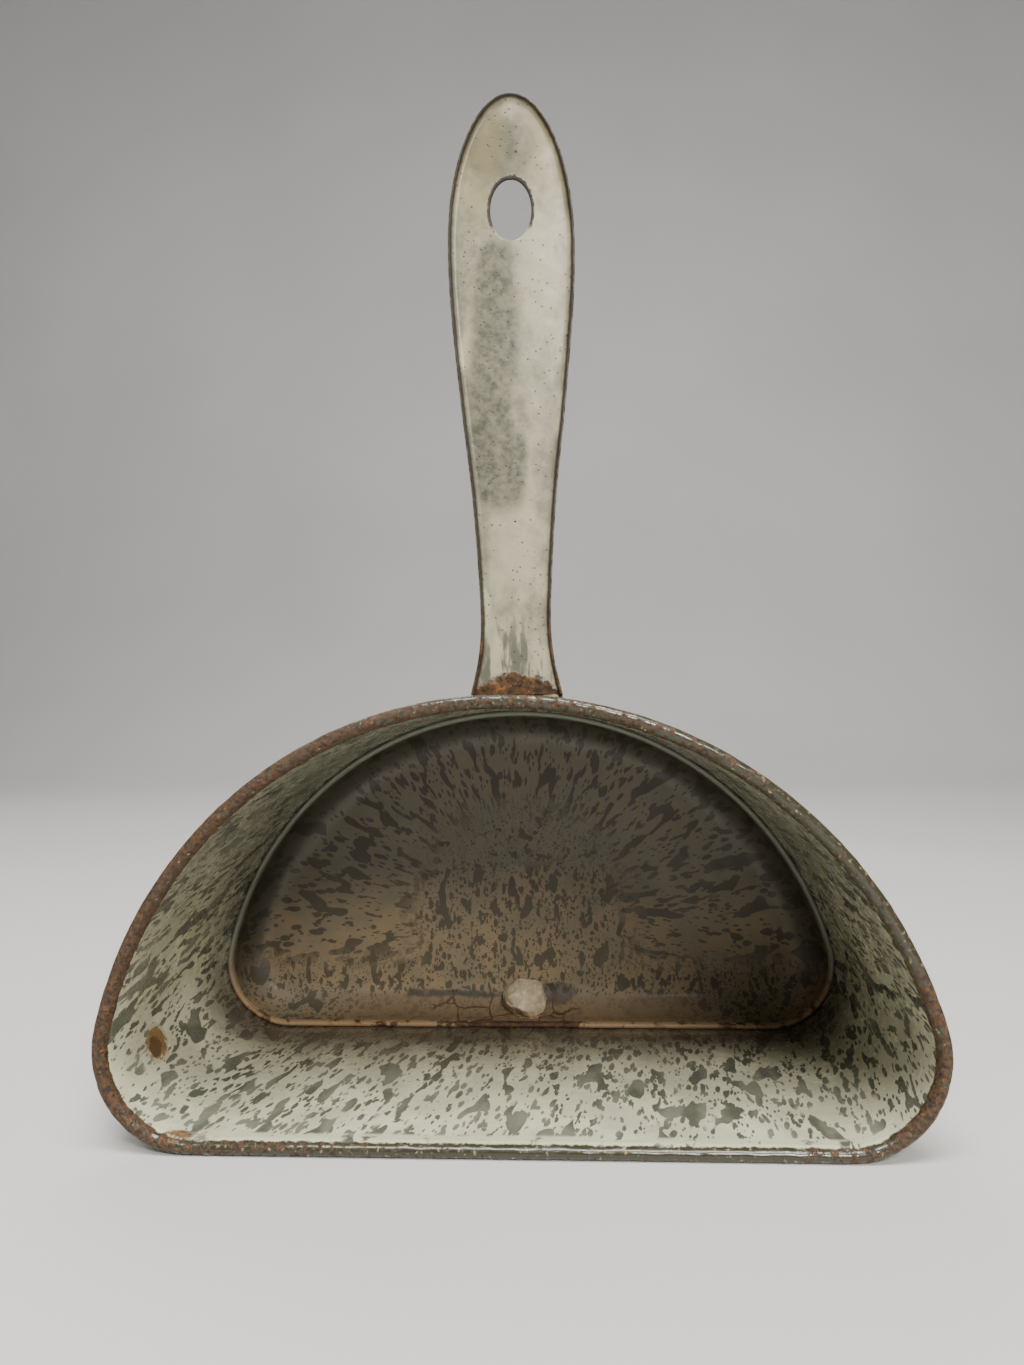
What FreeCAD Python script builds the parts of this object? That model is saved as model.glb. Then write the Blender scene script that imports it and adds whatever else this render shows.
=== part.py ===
"""Enamelled sheet-steel dust pan with a half-moon mouth, standing on its flat side with the handle up.

Millimetres. The pan is laid out in its own axes: the mouth is in the plane y = 0, +Y goes into the pan and
z = 0 is the outside of the flat side's rim. Every sheet section is drawn as (inset, depth): inset is the
distance inwards from the outline of the mouth, and depth is y. At the end the whole pan is tilted so that
it stands on its rim and on the back edge of its flat side, and is moved so that the origin is under its
middle.
"""
import FreeCAD
import Part

import math
import os

from FreeCAD import Vector

# Outline of the mouth, measured over the rolled rim.
MOUTH_HEIGHT = 134.5
CORNER_RADIUS = 30.0
CROWN_RADIUS_LEFT = 124.0
CROWN_RADIUS_RIGHT = 132.0  # the right shoulder is flatter than the left

# Sheet, wire and the section of the wall.
SHEET = 0.8
WIRE_RADIUS = 1.1
WIRE_CLEARANCE = 0.05
WIRE_GAP = 0.6
BEAD_RADIUS = WIRE_RADIUS + SHEET
CURL_SWEEP = 295.0
WALL_DEPTH = 113.0
WALL_END_INSET = 4.3
LEDGE_REACH = 5.5
HEEL_RADIUS = 1.0

# Base dish, hooked over the ledge at the end of the wall.
LIP_RADIUS = 1.0
LIP_GAP = 0.1
DISH_DEPTH = 14.5
DISH_DRAFT = 0.6
DISH_FILLET = 11.5

# Handle: a stamped blade with raised edges, and a saddle foot that lies on the outside of the crown.
HANDLE_X = 4.7  # the handle sits a little right of the crown's highest point
HANDLE_LENGTH = 181.3
HANDLE_SHEET = 1.0
EDGE_HEIGHT = 2.6
EDGE_WIDTH = 0.9
EDGE_ROUND = 0.9
BLADE_BACK = 6.4
# Half-width of the blade at heights above the rim, up to where the elliptical tip begins.
BLADE_SIDE = (
    (0.0, 13.6),
    (9.8, 11.4),
    (18.0, 10.5),
    (29.0, 10.6),
    (58.0, 12.5),
    (88.0, 15.8),
    (117.0, 18.5),
    (135.0, 19.1),
)
HANG_HOLE_SIZE = (12.4, 18.8)
HANG_HOLE_HEIGHT = 145.8
HANDLE_LEAN = 0.28  # degrees that the blade leans to the left
FOOT_END = 38.0
FOOT_HALF_WIDTH = 13.6
FOOT_SWEEP = 13.0
FOOT_CLEARANCE = 0.05
BEND_RADIUS = 2.2

# Rivets that hold the foot to the wall: (distance from the handle's middle, depth) of each.
RIVET_PLACES = ((-7.5, 14.0), (7.5, 14.0), (0.0, 29.0))
RIVET_RADIUS = 2.0
RIVET_HEAD_RADIUS = 3.6
RIVET_HEAD_HEIGHT = 0.8
RIVET_TAIL_RADIUS = 3.0
RIVET_TAIL_HEIGHT = 1.0
RIVET_CLEARANCE = 0.02
RIVET_GAP = 0.1

# Wad of putty that plugs a rust hole low down in the dish.
PLUG_X = 2.0
PLUG_SIZE = (19.5, 12.5, 15.0)
PLUG_HEIGHT = 12.7
PLUG_HOLE_RADIUS = 3.0
PLUG_HOLE_HEIGHT = 15.0
PLUG_NECK_SHORT = 0.2

INTO_PAN = Vector(0, 1, 0)
TURN_AXIS = Vector(0, -1, 0)  # turns +X towards +Z


def on_circle(centre, radius, degrees):
    """A point of a section's circle; 0 degrees is inwards, 90 degrees is deeper."""
    angle = math.radians(degrees)
    return (centre[0] + radius * math.cos(angle), centre[1] + radius * math.sin(angle))


def bend(centre, radius, start, end):
    """Round stretch of a section, from start to end degrees."""
    return tuple(on_circle(centre, radius, degrees) for degrees in (start, (start + end) / 2, end))


def section_point(point):
    """(inset, depth) on the flat side, where inset is height above z = 0."""
    return Vector(0, point[1], point[0])


def section_face(edges):
    """Closed face from a chain: 2 points are a straight edge, 3 points an arc through the middle one."""
    made = []
    for chain in edges:
        points = [section_point(p) for p in chain]
        if len(points) == 2:
            made.append(Part.makeLine(*points))
        else:
            made.append(Part.Arc(*points).toShape())
    return Part.Face(Part.Wire(made))


class HalfMoon:
    """Outline of the mouth: a flat side, two round corners, and a crown whose two halves differ in radius."""

    def __init__(self):
        self.arcs = []
        for side, crown_radius in ((1, CROWN_RADIUS_RIGHT), (-1, CROWN_RADIUS_LEFT)):
            crown_z = MOUTH_HEIGHT - crown_radius
            rise = CORNER_RADIUS - crown_z
            reach = math.sqrt((crown_radius - CORNER_RADIUS) ** 2 - rise**2)
            meeting = math.degrees(math.atan2(rise, reach))
            corner = (side * reach, CORNER_RADIUS)
            if side > 0:
                self.right_end = corner[0]
                self.arcs.append((corner, CORNER_RADIUS, -90.0, meeting))
                self.arcs.append(((0.0, crown_z), crown_radius, meeting, 90.0))
            else:
                self.left_end = corner[0]
                self.arcs.append(((0.0, crown_z), crown_radius, 90.0, 180.0 - meeting))
                self.arcs.append((corner, CORNER_RADIUS, 180.0 - meeting, 270.0))

    def sweep(self, face):
        """Carries a section face all the way round the outline."""
        flat = face.copy()
        flat.translate(Vector(self.left_end, 0, 0))
        pieces = [flat.extrude(Vector(self.right_end - self.left_end, 0, 0))]
        for centre, radius, start, end in self.arcs:
            pieces.append(self.turn(face, centre, radius, start, end))
        return pieces[0].fuse(pieces[1:]).removeSplitter()

    def turn(self, face, centre, radius, start, end):
        """One arc of the sweep: the section turned about the arc's own centre, from start to end degrees."""
        axis_point = Vector(centre[0], 0, centre[1])
        placed = face.copy()
        placed.translate(Vector(centre[0], 0, centre[1] - radius))
        placed.rotate(axis_point, TURN_AXIS, start + 90.0)
        return placed.revolve(axis_point, TURN_AXIS, end - start)

    def sweep_crown(self, face, half_angle):
        """Carries a section face over the top of the crown only, half_angle degrees each way."""
        right, left = self.arcs[1], self.arcs[2]
        pieces = [
            self.turn(face, right[0], right[1], 90.0 - half_angle, 90.0),
            self.turn(face, left[0], left[1], 90.0, 90.0 + half_angle),
        ]
        return pieces[0].fuse(pieces[1]).removeSplitter()

    def plate(self, inset, depth, thickness):
        """A flat plate of the outline drawn in by inset, from depth inwards by thickness."""
        edges = [
            Part.makeLine(Vector(self.left_end, depth, inset), Vector(self.right_end, depth, inset))
        ]
        for centre, radius, start, end in self.arcs:
            points = []
            for degrees in (start, (start + end) / 2, end):
                angle = math.radians(degrees)
                points.append(
                    Vector(
                        centre[0] + (radius - inset) * math.cos(angle),
                        depth,
                        centre[1] + (radius - inset) * math.sin(angle),
                    )
                )
            edges.append(Part.Arc(*points).toShape())
        return Part.Face(Part.Wire(edges)).extrude(INTO_PAN * thickness)


def wall_outer_inset(depth):
    """Inset of the wall's outside at a depth: the wall draws in slightly from the bead to the base."""
    share = (depth - BEAD_RADIUS) / (WALL_DEPTH - BEAD_RADIUS)
    start = 2 * BEAD_RADIUS - SHEET
    return start + share * (WALL_END_INSET - SHEET - start)


def make_wall(moon):
    """Wall sheet: curled round the rim wire at the mouth, turned in to a ledge at the base."""
    bead = (BEAD_RADIUS, BEAD_RADIUS)
    back = WALL_DEPTH
    heel = (WALL_END_INSET - SHEET + HEEL_RADIUS, back - HEEL_RADIUS)
    inner_heel = HEEL_RADIUS - SHEET
    face = section_face(
        [
            bend(bead, BEAD_RADIUS, 0, -CURL_SWEEP),
            (on_circle(bead, BEAD_RADIUS, -CURL_SWEEP), on_circle(bead, WIRE_RADIUS, -CURL_SWEEP)),
            bend(bead, WIRE_RADIUS, -CURL_SWEEP, 0),
            (on_circle(bead, WIRE_RADIUS, 0), on_circle(heel, HEEL_RADIUS, 180)),
            bend(heel, HEEL_RADIUS, 180, 90),
            (on_circle(heel, HEEL_RADIUS, 90), (LEDGE_REACH, back)),
            ((LEDGE_REACH, back), (LEDGE_REACH, back - SHEET)),
            ((LEDGE_REACH, back - SHEET), on_circle(heel, inner_heel, 90)),
            bend(heel, inner_heel, 90, 180),
            (on_circle(heel, inner_heel, 180), on_circle(bead, BEAD_RADIUS, 0)),
        ]
    )
    wall = moon.sweep(face)
    for offset, depth in RIVET_PLACES:
        wall = wall.cut(rivet_hole(offset, depth))
    return wall


def make_rim_wire(moon):
    """Stiffening wire inside the curled rim, its two ends butted at the middle of the flat side."""
    centre = (BEAD_RADIUS, BEAD_RADIUS)
    radius = WIRE_RADIUS - WIRE_CLEARANCE
    ring = moon.sweep(section_face([bend(centre, radius, 0, 180), bend(centre, radius, 180, 360)]))
    size = 4 * BEAD_RADIUS
    gap = Part.makeBox(WIRE_GAP, size, size, Vector(-WIRE_GAP / 2, -BEAD_RADIUS, -BEAD_RADIUS))
    return ring.cut(gap)


def make_dish(moon):
    """Base dish: a rolled lip over the wall's ledge, drafted sides, a rounded corner and a flat bottom."""
    ledge_front = WALL_DEPTH - SHEET
    lip = (WALL_END_INSET + LIP_GAP + LIP_RADIUS, ledge_front - LIP_GAP)
    bore = LIP_RADIUS - SHEET
    side = lip[0] + LIP_RADIUS
    bottom = ledge_front + DISH_DEPTH
    corner = (side + DISH_DRAFT + DISH_FILLET, bottom - DISH_FILLET)
    outside = DISH_FILLET + SHEET
    face = section_face(
        [
            bend(lip, LIP_RADIUS, -180, 0),
            (on_circle(lip, LIP_RADIUS, 0), on_circle(corner, DISH_FILLET, 180)),
            bend(corner, DISH_FILLET, 180, 90),
            (on_circle(corner, DISH_FILLET, 90), on_circle(corner, outside, 90)),
            bend(corner, outside, 90, 180),
            (on_circle(corner, outside, 180), on_circle(lip, bore, 0)),
            bend(lip, bore, 0, -180),
            (on_circle(lip, bore, 180), on_circle(lip, LIP_RADIUS, 180)),
        ]
    )
    dish = moon.sweep(face).fuse(moon.plate(corner[0], bottom, SHEET)).removeSplitter()
    hole = Part.makeCylinder(PLUG_HOLE_RADIUS, 4 * SHEET, rust_hole(bottom - 2 * SHEET), INTO_PAN)
    return dish.cut(hole), bottom


def rust_hole(depth):
    """Middle of the rust hole, at a depth: low in the dish, where its round corner meets the flat bottom."""
    return Vector(PLUG_X, depth, PLUG_HOLE_HEIGHT)


def make_plug(dish, bottom):
    """Wad of putty: a lump pressed into the dish, and a neck that fills the rust hole."""
    width, depth, height = PLUG_SIZE
    middle = Vector(PLUG_X, bottom, PLUG_HEIGHT)
    lump = Part.makeSphere(0.5)
    matrix = FreeCAD.Matrix()
    matrix.scale(width, 2 * depth, height)
    lump = lump.transformGeometry(matrix)
    lump.translate(middle)
    corner = middle - Vector(width, 2 * depth, height)
    lump = lump.common(Part.makeBox(2 * width, 2 * depth, 2 * height, corner))
    length = depth / 2 + SHEET - PLUG_NECK_SHORT
    neck = Part.makeCylinder(PLUG_HOLE_RADIUS, length, rust_hole(bottom - depth / 2), INTO_PAN)
    pieces = lump.fuse(neck).cut(dish).Solids
    return max(pieces, key=lambda piece: piece.Volume)


def blade_outline(inset, depth):
    """Outline of the handle's blade drawn in by inset: waisted sides, half an ellipse at the tip."""
    tip_start, widest = BLADE_SIDE[-1]
    tip_centre = Vector(HANDLE_X, depth, MOUTH_HEIGHT + tip_start)
    across = Vector(widest - inset, 0, 0)
    peak = tip_centre + Vector(0, 0, HANDLE_LENGTH - tip_start - inset)
    tip = Part.Ellipse(peak, tip_centre + across, tip_centre)
    shoulders = [tip.parameter(tip_centre - across), tip.parameter(tip_centre + across)]
    arc = Part.Arc(tip, min(shoulders), max(shoulders))
    if arc.value((arc.FirstParameter + arc.LastParameter) / 2).z < tip_centre.z:
        arc = Part.Arc(tip, max(shoulders), min(shoulders) + 2 * math.pi)
    edges = [arc.toShape()]
    roots = []
    for side in (1, -1):
        points = [
            Vector(HANDLE_X + side * (half_width - inset), depth, MOUTH_HEIGHT + height)
            for height, half_width in BLADE_SIDE
        ]
        curve = Part.BSplineCurve()
        start = points[1] - points[0]
        curve.interpolate(Points=points, InitialTangent=start, FinalTangent=Vector(0, 0, 1))
        edges.append(curve.toShape())
        roots.append(points[0])
    edges.append(Part.makeLine(*roots))
    return Part.Face(Part.Wire(Part.__sortEdges__(edges)))


def hang_hole(depth, length):
    """Elliptical hole near the tip of the handle."""
    width, height = HANG_HOLE_SIZE
    middle = Vector(HANDLE_X, depth, MOUTH_HEIGHT + HANG_HOLE_HEIGHT)
    across, up = Vector(width / 2, 0, 0), Vector(0, 0, height / 2)
    edge = Part.Ellipse(middle + up, middle + across, middle).toShape()
    return Part.Face(Part.Wire(edge)).extrude(INTO_PAN * length)


def make_blade():
    """Blade: a sheet whose edges are raised towards the front all round the sides and tip."""
    front = BLADE_BACK - EDGE_HEIGHT
    blade = blade_outline(0.0, front).extrude(INTO_PAN * EDGE_HEIGHT)
    back_edges = [
        edge
        for edge in blade.Edges
        if edge.BoundBox.YMin > BLADE_BACK - 0.01 and edge.BoundBox.ZLength > 1.0
    ]
    blade = blade.makeFillet(EDGE_ROUND, back_edges)
    pocket_depth = EDGE_HEIGHT - HANDLE_SHEET
    pocket = blade_outline(EDGE_WIDTH, front).extrude(INTO_PAN * pocket_depth)
    blade = blade.cut(pocket).cut(hang_hole(front - 1.0, EDGE_HEIGHT + 2.0))
    blade.rotate(Vector(HANDLE_X, 0, MOUTH_HEIGHT), TURN_AXIS, HANDLE_LEAN)
    return blade


def make_foot(moon):
    """Saddle foot: follows the outside of the crown behind the rim, then bends up into the blade."""
    t = HANDLE_SHEET
    back = BLADE_BACK
    bend_depth = back + BEND_RADIUS
    near = wall_outer_inset(bend_depth) - FOOT_CLEARANCE
    far = wall_outer_inset(FOOT_END) - FOOT_CLEARANCE
    centre = (near - t - BEND_RADIUS, bend_depth)
    outer = BEND_RADIUS + t
    top = near - outer - BEND_RADIUS
    face = section_face(
        [
            ((near, bend_depth), (far, FOOT_END)),
            ((far, FOOT_END), (far - t, FOOT_END)),
            ((far - t, FOOT_END), (near - t, bend_depth)),
            bend(centre, BEND_RADIUS, 0, -90),
            (on_circle(centre, BEND_RADIUS, -90), (top, back)),
            ((top, back), (top, back - t)),
            ((top, back - t), on_circle(centre, outer, -90)),
            bend(centre, outer, -90, 0),
        ]
    )
    saddle = moon.sweep_crown(face, FOOT_SWEEP)
    height = 40.0
    low = MOUTH_HEIGHT - height / 2
    end_depth = FOOT_END - FOOT_HALF_WIDTH
    corner = Vector(HANDLE_X - FOOT_HALF_WIDTH, 0, low)
    body = Part.makeBox(2 * FOOT_HALF_WIDTH, end_depth, height, corner)
    end = Part.makeCylinder(FOOT_HALF_WIDTH, height, Vector(HANDLE_X, end_depth, low), Vector(0, 0, 1))
    foot = saddle.common(body.fuse(end))
    for offset, depth in RIVET_PLACES:
        foot = foot.cut(rivet_hole(offset, depth))
    return foot


def crown_frame(offset, depth):
    """Point of the wall's outside, offset from the handle's middle, and the outward direction there."""
    x = HANDLE_X + offset
    radius = CROWN_RADIUS_RIGHT if x >= 0 else CROWN_RADIUS_LEFT
    centre = Vector(0, depth, MOUTH_HEIGHT - radius)
    reach = radius - wall_outer_inset(depth)
    outward = Vector(x, 0, math.sqrt(reach**2 - x**2))
    outward.normalize()
    return centre + outward * reach, outward


def rivet_hole(offset, depth):
    """Hole for one rivet, through wall and foot."""
    surface, outward = crown_frame(offset, depth)
    reach = 3 * RIVET_RADIUS
    return Part.makeCylinder(RIVET_RADIUS, 2 * reach, surface - outward * reach, outward)


def make_rivet(offset, depth):
    """One rivet: low domed head inside the pan, shank, and a flat set tail on the foot."""
    surface, outward = crown_frame(offset, depth)
    inside = surface - outward * (SHEET + RIVET_GAP)
    outside = surface + outward * (HANDLE_SHEET + FOOT_CLEARANCE + RIVET_GAP)
    grip = (outside - inside).Length
    shank = Part.makeCylinder(RIVET_RADIUS - RIVET_CLEARANCE, grip, inside, outward)
    dome_radius = (RIVET_HEAD_RADIUS**2 + RIVET_HEAD_HEIGHT**2) / (2 * RIVET_HEAD_HEIGHT)
    ball = Part.makeSphere(dome_radius, inside + outward * (dome_radius - RIVET_HEAD_HEIGHT))
    foot_of_head = inside - outward * RIVET_HEAD_HEIGHT
    head = ball.common(Part.makeCylinder(2 * RIVET_HEAD_RADIUS, RIVET_HEAD_HEIGHT, foot_of_head, outward))
    top_radius = RIVET_TAIL_RADIUS - RIVET_TAIL_HEIGHT / 2
    tail = Part.makeCone(RIVET_TAIL_RADIUS, top_radius, RIVET_TAIL_HEIGHT, outside, outward)
    return shank.fuse([head, tail]).removeSplitter()


def main():
    moon = HalfMoon()
    dish, bottom = make_dish(moon)
    nodes = {
        "wall_sheet": make_wall(moon),
        "rim_wire": make_rim_wire(moon),
        "base_dish": dish,
        "handle": make_blade().fuse(make_foot(moon)).removeSplitter(),
        "handle_rivets": Part.Compound([make_rivet(offset, depth) for offset, depth in RIVET_PLACES]),
        "repair_plug": make_plug(dish, bottom),
    }
    whole = Part.Compound(list(nodes.values()))
    heel_depth = WALL_DEPTH - HEEL_RADIUS
    tilt = math.degrees(math.atan2(WALL_END_INSET - SHEET, heel_depth - BEAD_RADIUS))
    for shape in [whole, *nodes.values()]:
        shape.rotate(Vector(0, 0, 0), Vector(1, 0, 0), -tilt)
    box = whole.optimalBoundingBox(False)
    shift = Vector(-(box.XMin + box.XMax) / 2, -(box.YMin + box.YMax) / 2, -box.ZMin)
    os.makedirs("parts", exist_ok=True)
    for name, shape in nodes.items():
        shape.translate(shift)
        shape.exportStep(f"parts/{name}.step")
        print(name, len(shape.Solids), "solids, valid", shape.isValid(), "volume", round(shape.Volume, 1))
    print("tilt", round(tilt, 3), "shift", [round(v, 3) for v in shift])


main()
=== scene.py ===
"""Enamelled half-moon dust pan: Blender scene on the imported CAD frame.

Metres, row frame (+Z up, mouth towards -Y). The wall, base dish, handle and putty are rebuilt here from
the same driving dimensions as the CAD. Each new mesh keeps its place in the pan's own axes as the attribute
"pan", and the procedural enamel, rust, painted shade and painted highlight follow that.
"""
import math

import bmesh
import bpy
from mathutils import Matrix, Vector, noise


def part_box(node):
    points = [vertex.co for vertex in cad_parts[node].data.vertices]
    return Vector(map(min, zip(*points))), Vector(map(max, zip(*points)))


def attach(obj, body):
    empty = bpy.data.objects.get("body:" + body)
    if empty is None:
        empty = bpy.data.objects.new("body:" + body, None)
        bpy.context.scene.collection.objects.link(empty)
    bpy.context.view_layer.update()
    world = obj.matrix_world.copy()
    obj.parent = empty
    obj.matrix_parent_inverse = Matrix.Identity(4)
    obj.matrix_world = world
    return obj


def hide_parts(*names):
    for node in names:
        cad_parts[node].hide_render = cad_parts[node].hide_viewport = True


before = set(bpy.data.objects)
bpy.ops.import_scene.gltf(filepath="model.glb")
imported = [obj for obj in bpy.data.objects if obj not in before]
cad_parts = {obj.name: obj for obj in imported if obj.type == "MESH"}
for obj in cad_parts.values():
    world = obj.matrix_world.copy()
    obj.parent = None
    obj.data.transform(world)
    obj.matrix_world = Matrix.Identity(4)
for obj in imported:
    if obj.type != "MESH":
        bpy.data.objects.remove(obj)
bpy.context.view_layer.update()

MM = 0.001

# Driving dimensions of the pan, in millimetres, as the CAD has them.
MOUTH_HEIGHT = 134.5
CORNER_RADIUS = 30.0
CROWN_RADIUS_LEFT = 124.0
CROWN_RADIUS_RIGHT = 132.0
SHEET = 0.8
BEAD_RADIUS = 1.9
CURL_SWEEP = 295.0
WALL_DEPTH = 113.0
WALL_END_INSET = 4.3
HEEL_RADIUS = 1.0
FLARE_RADIUS = 5.0
FLARE_ANGLE = 38.0
LIP_RADIUS = 1.0
LIP_GAP = 0.1
DISH_DEPTH = 14.5
DISH_DRAFT = 0.6
DISH_FILLET = 11.5
HANDLE_X = 4.7
HANDLE_LENGTH = 181.3
HANDLE_SHEET = 1.0
EDGE_HEIGHT = 2.6
EDGE_WIDTH = 0.9
BLADE_BACK = 6.4
BLADE_SIDE = (
    (0.0, 13.6),
    (9.8, 11.4),
    (18.0, 10.5),
    (29.0, 10.6),
    (58.0, 12.5),
    (88.0, 15.8),
    (117.0, 18.5),
    (135.0, 19.1),
)
HANG_HOLE_SIZE = (12.4, 18.8)
HANG_HOLE_HEIGHT = 145.8
HANDLE_LEAN = -0.9
HOLE_LIP = 0.45
FOOT_END = 38.0
FOOT_HALF_WIDTH = 13.6
BEND_RADIUS = 2.2
PLUG_X = 2.0
PLUG_SIZE = (19.5, 12.5, 15.0)
PLUG_HEIGHT = 12.7
PLUG_FACETS = 46

# How finely the new meshes are made: steps in millimetres, and rings across the dish's bottom.
WALL_STEP = 1.3
DISH_STEP = 1.6
BLADE_STEP = 0.7
DISH_RINGS = 26
DISH_CENTRE = (2.0, 52.0)
WELD_DISTANCE = 0.02

TILT = math.atan2(WALL_END_INSET - SHEET, WALL_DEPTH - HEEL_RADIUS - BEAD_RADIUS)


# ---- the pan's own axes


class HalfMoon:
    """Outline of the mouth by length along it, starting at the middle of the flat side and going right."""

    def __init__(self):
        self.runs = []
        self.length = 0.0
        half = []
        for side, crown_radius in ((1, CROWN_RADIUS_RIGHT), (-1, CROWN_RADIUS_LEFT)):
            crown_z = MOUTH_HEIGHT - crown_radius
            rise = CORNER_RADIUS - crown_z
            reach = math.sqrt((crown_radius - CORNER_RADIUS) ** 2 - rise**2)
            half.append((side * reach, crown_z, crown_radius, math.atan2(rise, reach)))
        (right, right_z, right_r, right_turn), (left, left_z, left_r, left_turn) = half
        self.right, self.left = right, left
        quarter = math.pi / 2
        self.line((0.0, 0.0), right)
        self.arc((right, CORNER_RADIUS), CORNER_RADIUS, -quarter, right_turn)
        self.arc((0.0, right_z), right_r, right_turn, quarter)
        self.arc((0.0, left_z), left_r, quarter, math.pi - left_turn)
        self.arc((left, CORNER_RADIUS), CORNER_RADIUS, math.pi - left_turn, 3 * quarter)
        self.line((left, 0.0), -left)

    def line(self, start, length):
        self.runs.append(("line", self.length, length, start))
        self.length += length

    def arc(self, centre, radius, start, end):
        length = radius * (end - start)
        self.runs.append(("arc", self.length, length, (centre, radius, start)))
        self.length += length

    def at(self, s):
        """(x, z), and the inward direction there, at length s along the outline."""
        s %= self.length
        for kind, begin, length, data in self.runs:
            if s <= begin + length:
                break
        along = s - begin
        if kind == "line":
            return (data[0] + along, data[1]), (0.0, 1.0)
        centre, radius, start = data
        angle = start + along / radius
        out = (math.cos(angle), math.sin(angle))
        return (centre[0] + radius * out[0], centre[1] + radius * out[1]), (-out[0], -out[1])


MOON = HalfMoon()


def pan_to_row():
    """Matrix from the pan's own axes (mm) to the row frame: tilted, then placed by the CAD's box."""
    turn = Matrix.Rotation(-TILT, 4, "X") @ Matrix.Scale(MM, 4)
    low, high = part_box("wall_sheet")
    mid_x = (low.x + high.x) / 2 - (MOON.left + MOON.right) / 2 * MM
    top = (turn @ Vector((0, BEAD_RADIUS, MOUTH_HEIGHT))).z
    front = (turn @ Vector((0, 0, BEAD_RADIUS))).y
    return Matrix.Translation((mid_x, low.y - front, high.z - top)) @ turn


TO_ROW = pan_to_row()


def row(x, y, z):
    return TO_ROW @ Vector((x, y, z))


def on_circle(centre, radius, degrees):
    angle = math.radians(degrees)
    return (centre[0] + radius * math.cos(angle), centre[1] + radius * math.sin(angle))


def arc_points(centre, radius, start, end, count):
    return [on_circle(centre, radius, start + (end - start) * i / count) for i in range(count + 1)]


def line_points(start, end, count):
    return [
        (start[0] + (end[0] - start[0]) * i / count, start[1] + (end[1] - start[1]) * i / count)
        for i in range(count + 1)
    ]


def join(*chains):
    """One list of section points from chains that meet end to end."""
    out = list(chains[0])
    for chain in chains[1:]:
        out += chain[1:]
    return out


def wall_section():
    """Closed section of the wall as (inset, depth): inside face first, then back along the outside."""
    bead = (BEAD_RADIUS, BEAD_RADIUS)
    heel = (WALL_END_INSET - SHEET + HEEL_RADIUS, WALL_DEPTH - HEEL_RADIUS)
    inner = HEEL_RADIUS - SHEET
    ledge = WALL_END_INSET + LIP_GAP + LIP_RADIUS
    outer_start = on_circle(bead, BEAD_RADIUS - SHEET, 0)
    # The inside face rounds over into the bead along a wider arc that touches the bead's own circle.
    push = FLARE_RADIUS - BEAD_RADIUS
    flare = on_circle(bead, -push, -FLARE_ANGLE)
    shoulder = on_circle(flare, FLARE_RADIUS, 0)
    swell = (WALL_END_INSET - 0.3, shoulder[1] + 26.0)
    return join(
        line_points(on_circle(heel, inner, 180), swell, 60),
        line_points(swell, shoulder, 22),
        arc_points(flare, FLARE_RADIUS, 0, -FLARE_ANGLE, 8),
        arc_points(bead, BEAD_RADIUS, -FLARE_ANGLE, -CURL_SWEEP, 30),
        arc_points(bead, BEAD_RADIUS - SHEET, -CURL_SWEEP, -CURL_SWEEP + 12, 1),
        line_points(
            (outer_start[0] + 0.05, on_circle(bead, BEAD_RADIUS, -CURL_SWEEP)[1]),
            on_circle(heel, HEEL_RADIUS, 180),
            60,
        ),
        arc_points(heel, HEEL_RADIUS, 180, 90, 5),
        line_points(on_circle(heel, HEEL_RADIUS, 90), (ledge, WALL_DEPTH), 1),
        line_points((ledge, WALL_DEPTH), (ledge, WALL_DEPTH - SHEET), 1),
        line_points((ledge, WALL_DEPTH - SHEET), on_circle(heel, inner, 90), 1),
        arc_points(heel, inner, 90, 180, 3),
    )


def dish_section():
    """Where the dish's lip, side, bottom and rounded corner lie, in (inset, depth)."""
    front = WALL_DEPTH - SHEET
    lip = (WALL_END_INSET + LIP_GAP + LIP_RADIUS, front - LIP_GAP)
    side = lip[0] + LIP_RADIUS
    bottom = front + DISH_DEPTH
    corner = (side + DISH_DRAFT + DISH_FILLET, bottom - DISH_FILLET)
    return {"lip": lip, "side": side, "bottom": bottom, "corner": corner}


DISH = dish_section()


# ---- mesh helpers


def unevenness(point, size, amount):
    """Gentle hand-made waviness: a smooth noise of that feature size and amount, in millimetres."""
    return amount * noise.noise(Vector(point) / size)


def make_object(name, points, faces, body="root"):
    """Mesh object from points in the pan's own axes (mm), kept as the attribute "pan", in metres."""
    mesh = bpy.data.meshes.new(name)
    mesh.from_pydata([row(*p) for p in points], [], faces)
    layer = mesh.attributes.new("pan", "FLOAT_VECTOR", "POINT")
    layer.data.foreach_set("vector", [v * MM for p in points for v in p])
    mesh.validate()
    tidy = bmesh.new()
    tidy.from_mesh(mesh)
    bmesh.ops.recalc_face_normals(tidy, faces=tidy.faces)
    tidy.to_mesh(mesh)
    tidy.free()
    mesh.shade_smooth()
    piece = bpy.data.objects.new(name, mesh)
    bpy.context.scene.collection.objects.link(piece)
    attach(piece, body)
    return piece


def grid_faces(columns, rows, wrap_columns=True, wrap_rows=True, start=0):
    """Quads of a grid whose point number is start + column * rows + row."""
    faces = []
    for i in range(columns if wrap_columns else columns - 1):
        j = (i + 1) % columns
        for k in range(rows if wrap_rows else rows - 1):
            n = (k + 1) % rows
            here, there = start + i * rows, start + j * rows
            faces.append((here + k, there + k, there + n, here + n))
    return faces


def around_mouth(step):
    """Lengths along the outline, about step millimetres apart."""
    count = round(MOON.length / step)
    return [MOON.length * i / count for i in range(count)]


def on_section(s, inset, depth):
    (x, z), (nx, nz) = MOON.at(s)
    return (x + nx * inset, depth, z + nz * inset)


# ---- wall


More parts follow.
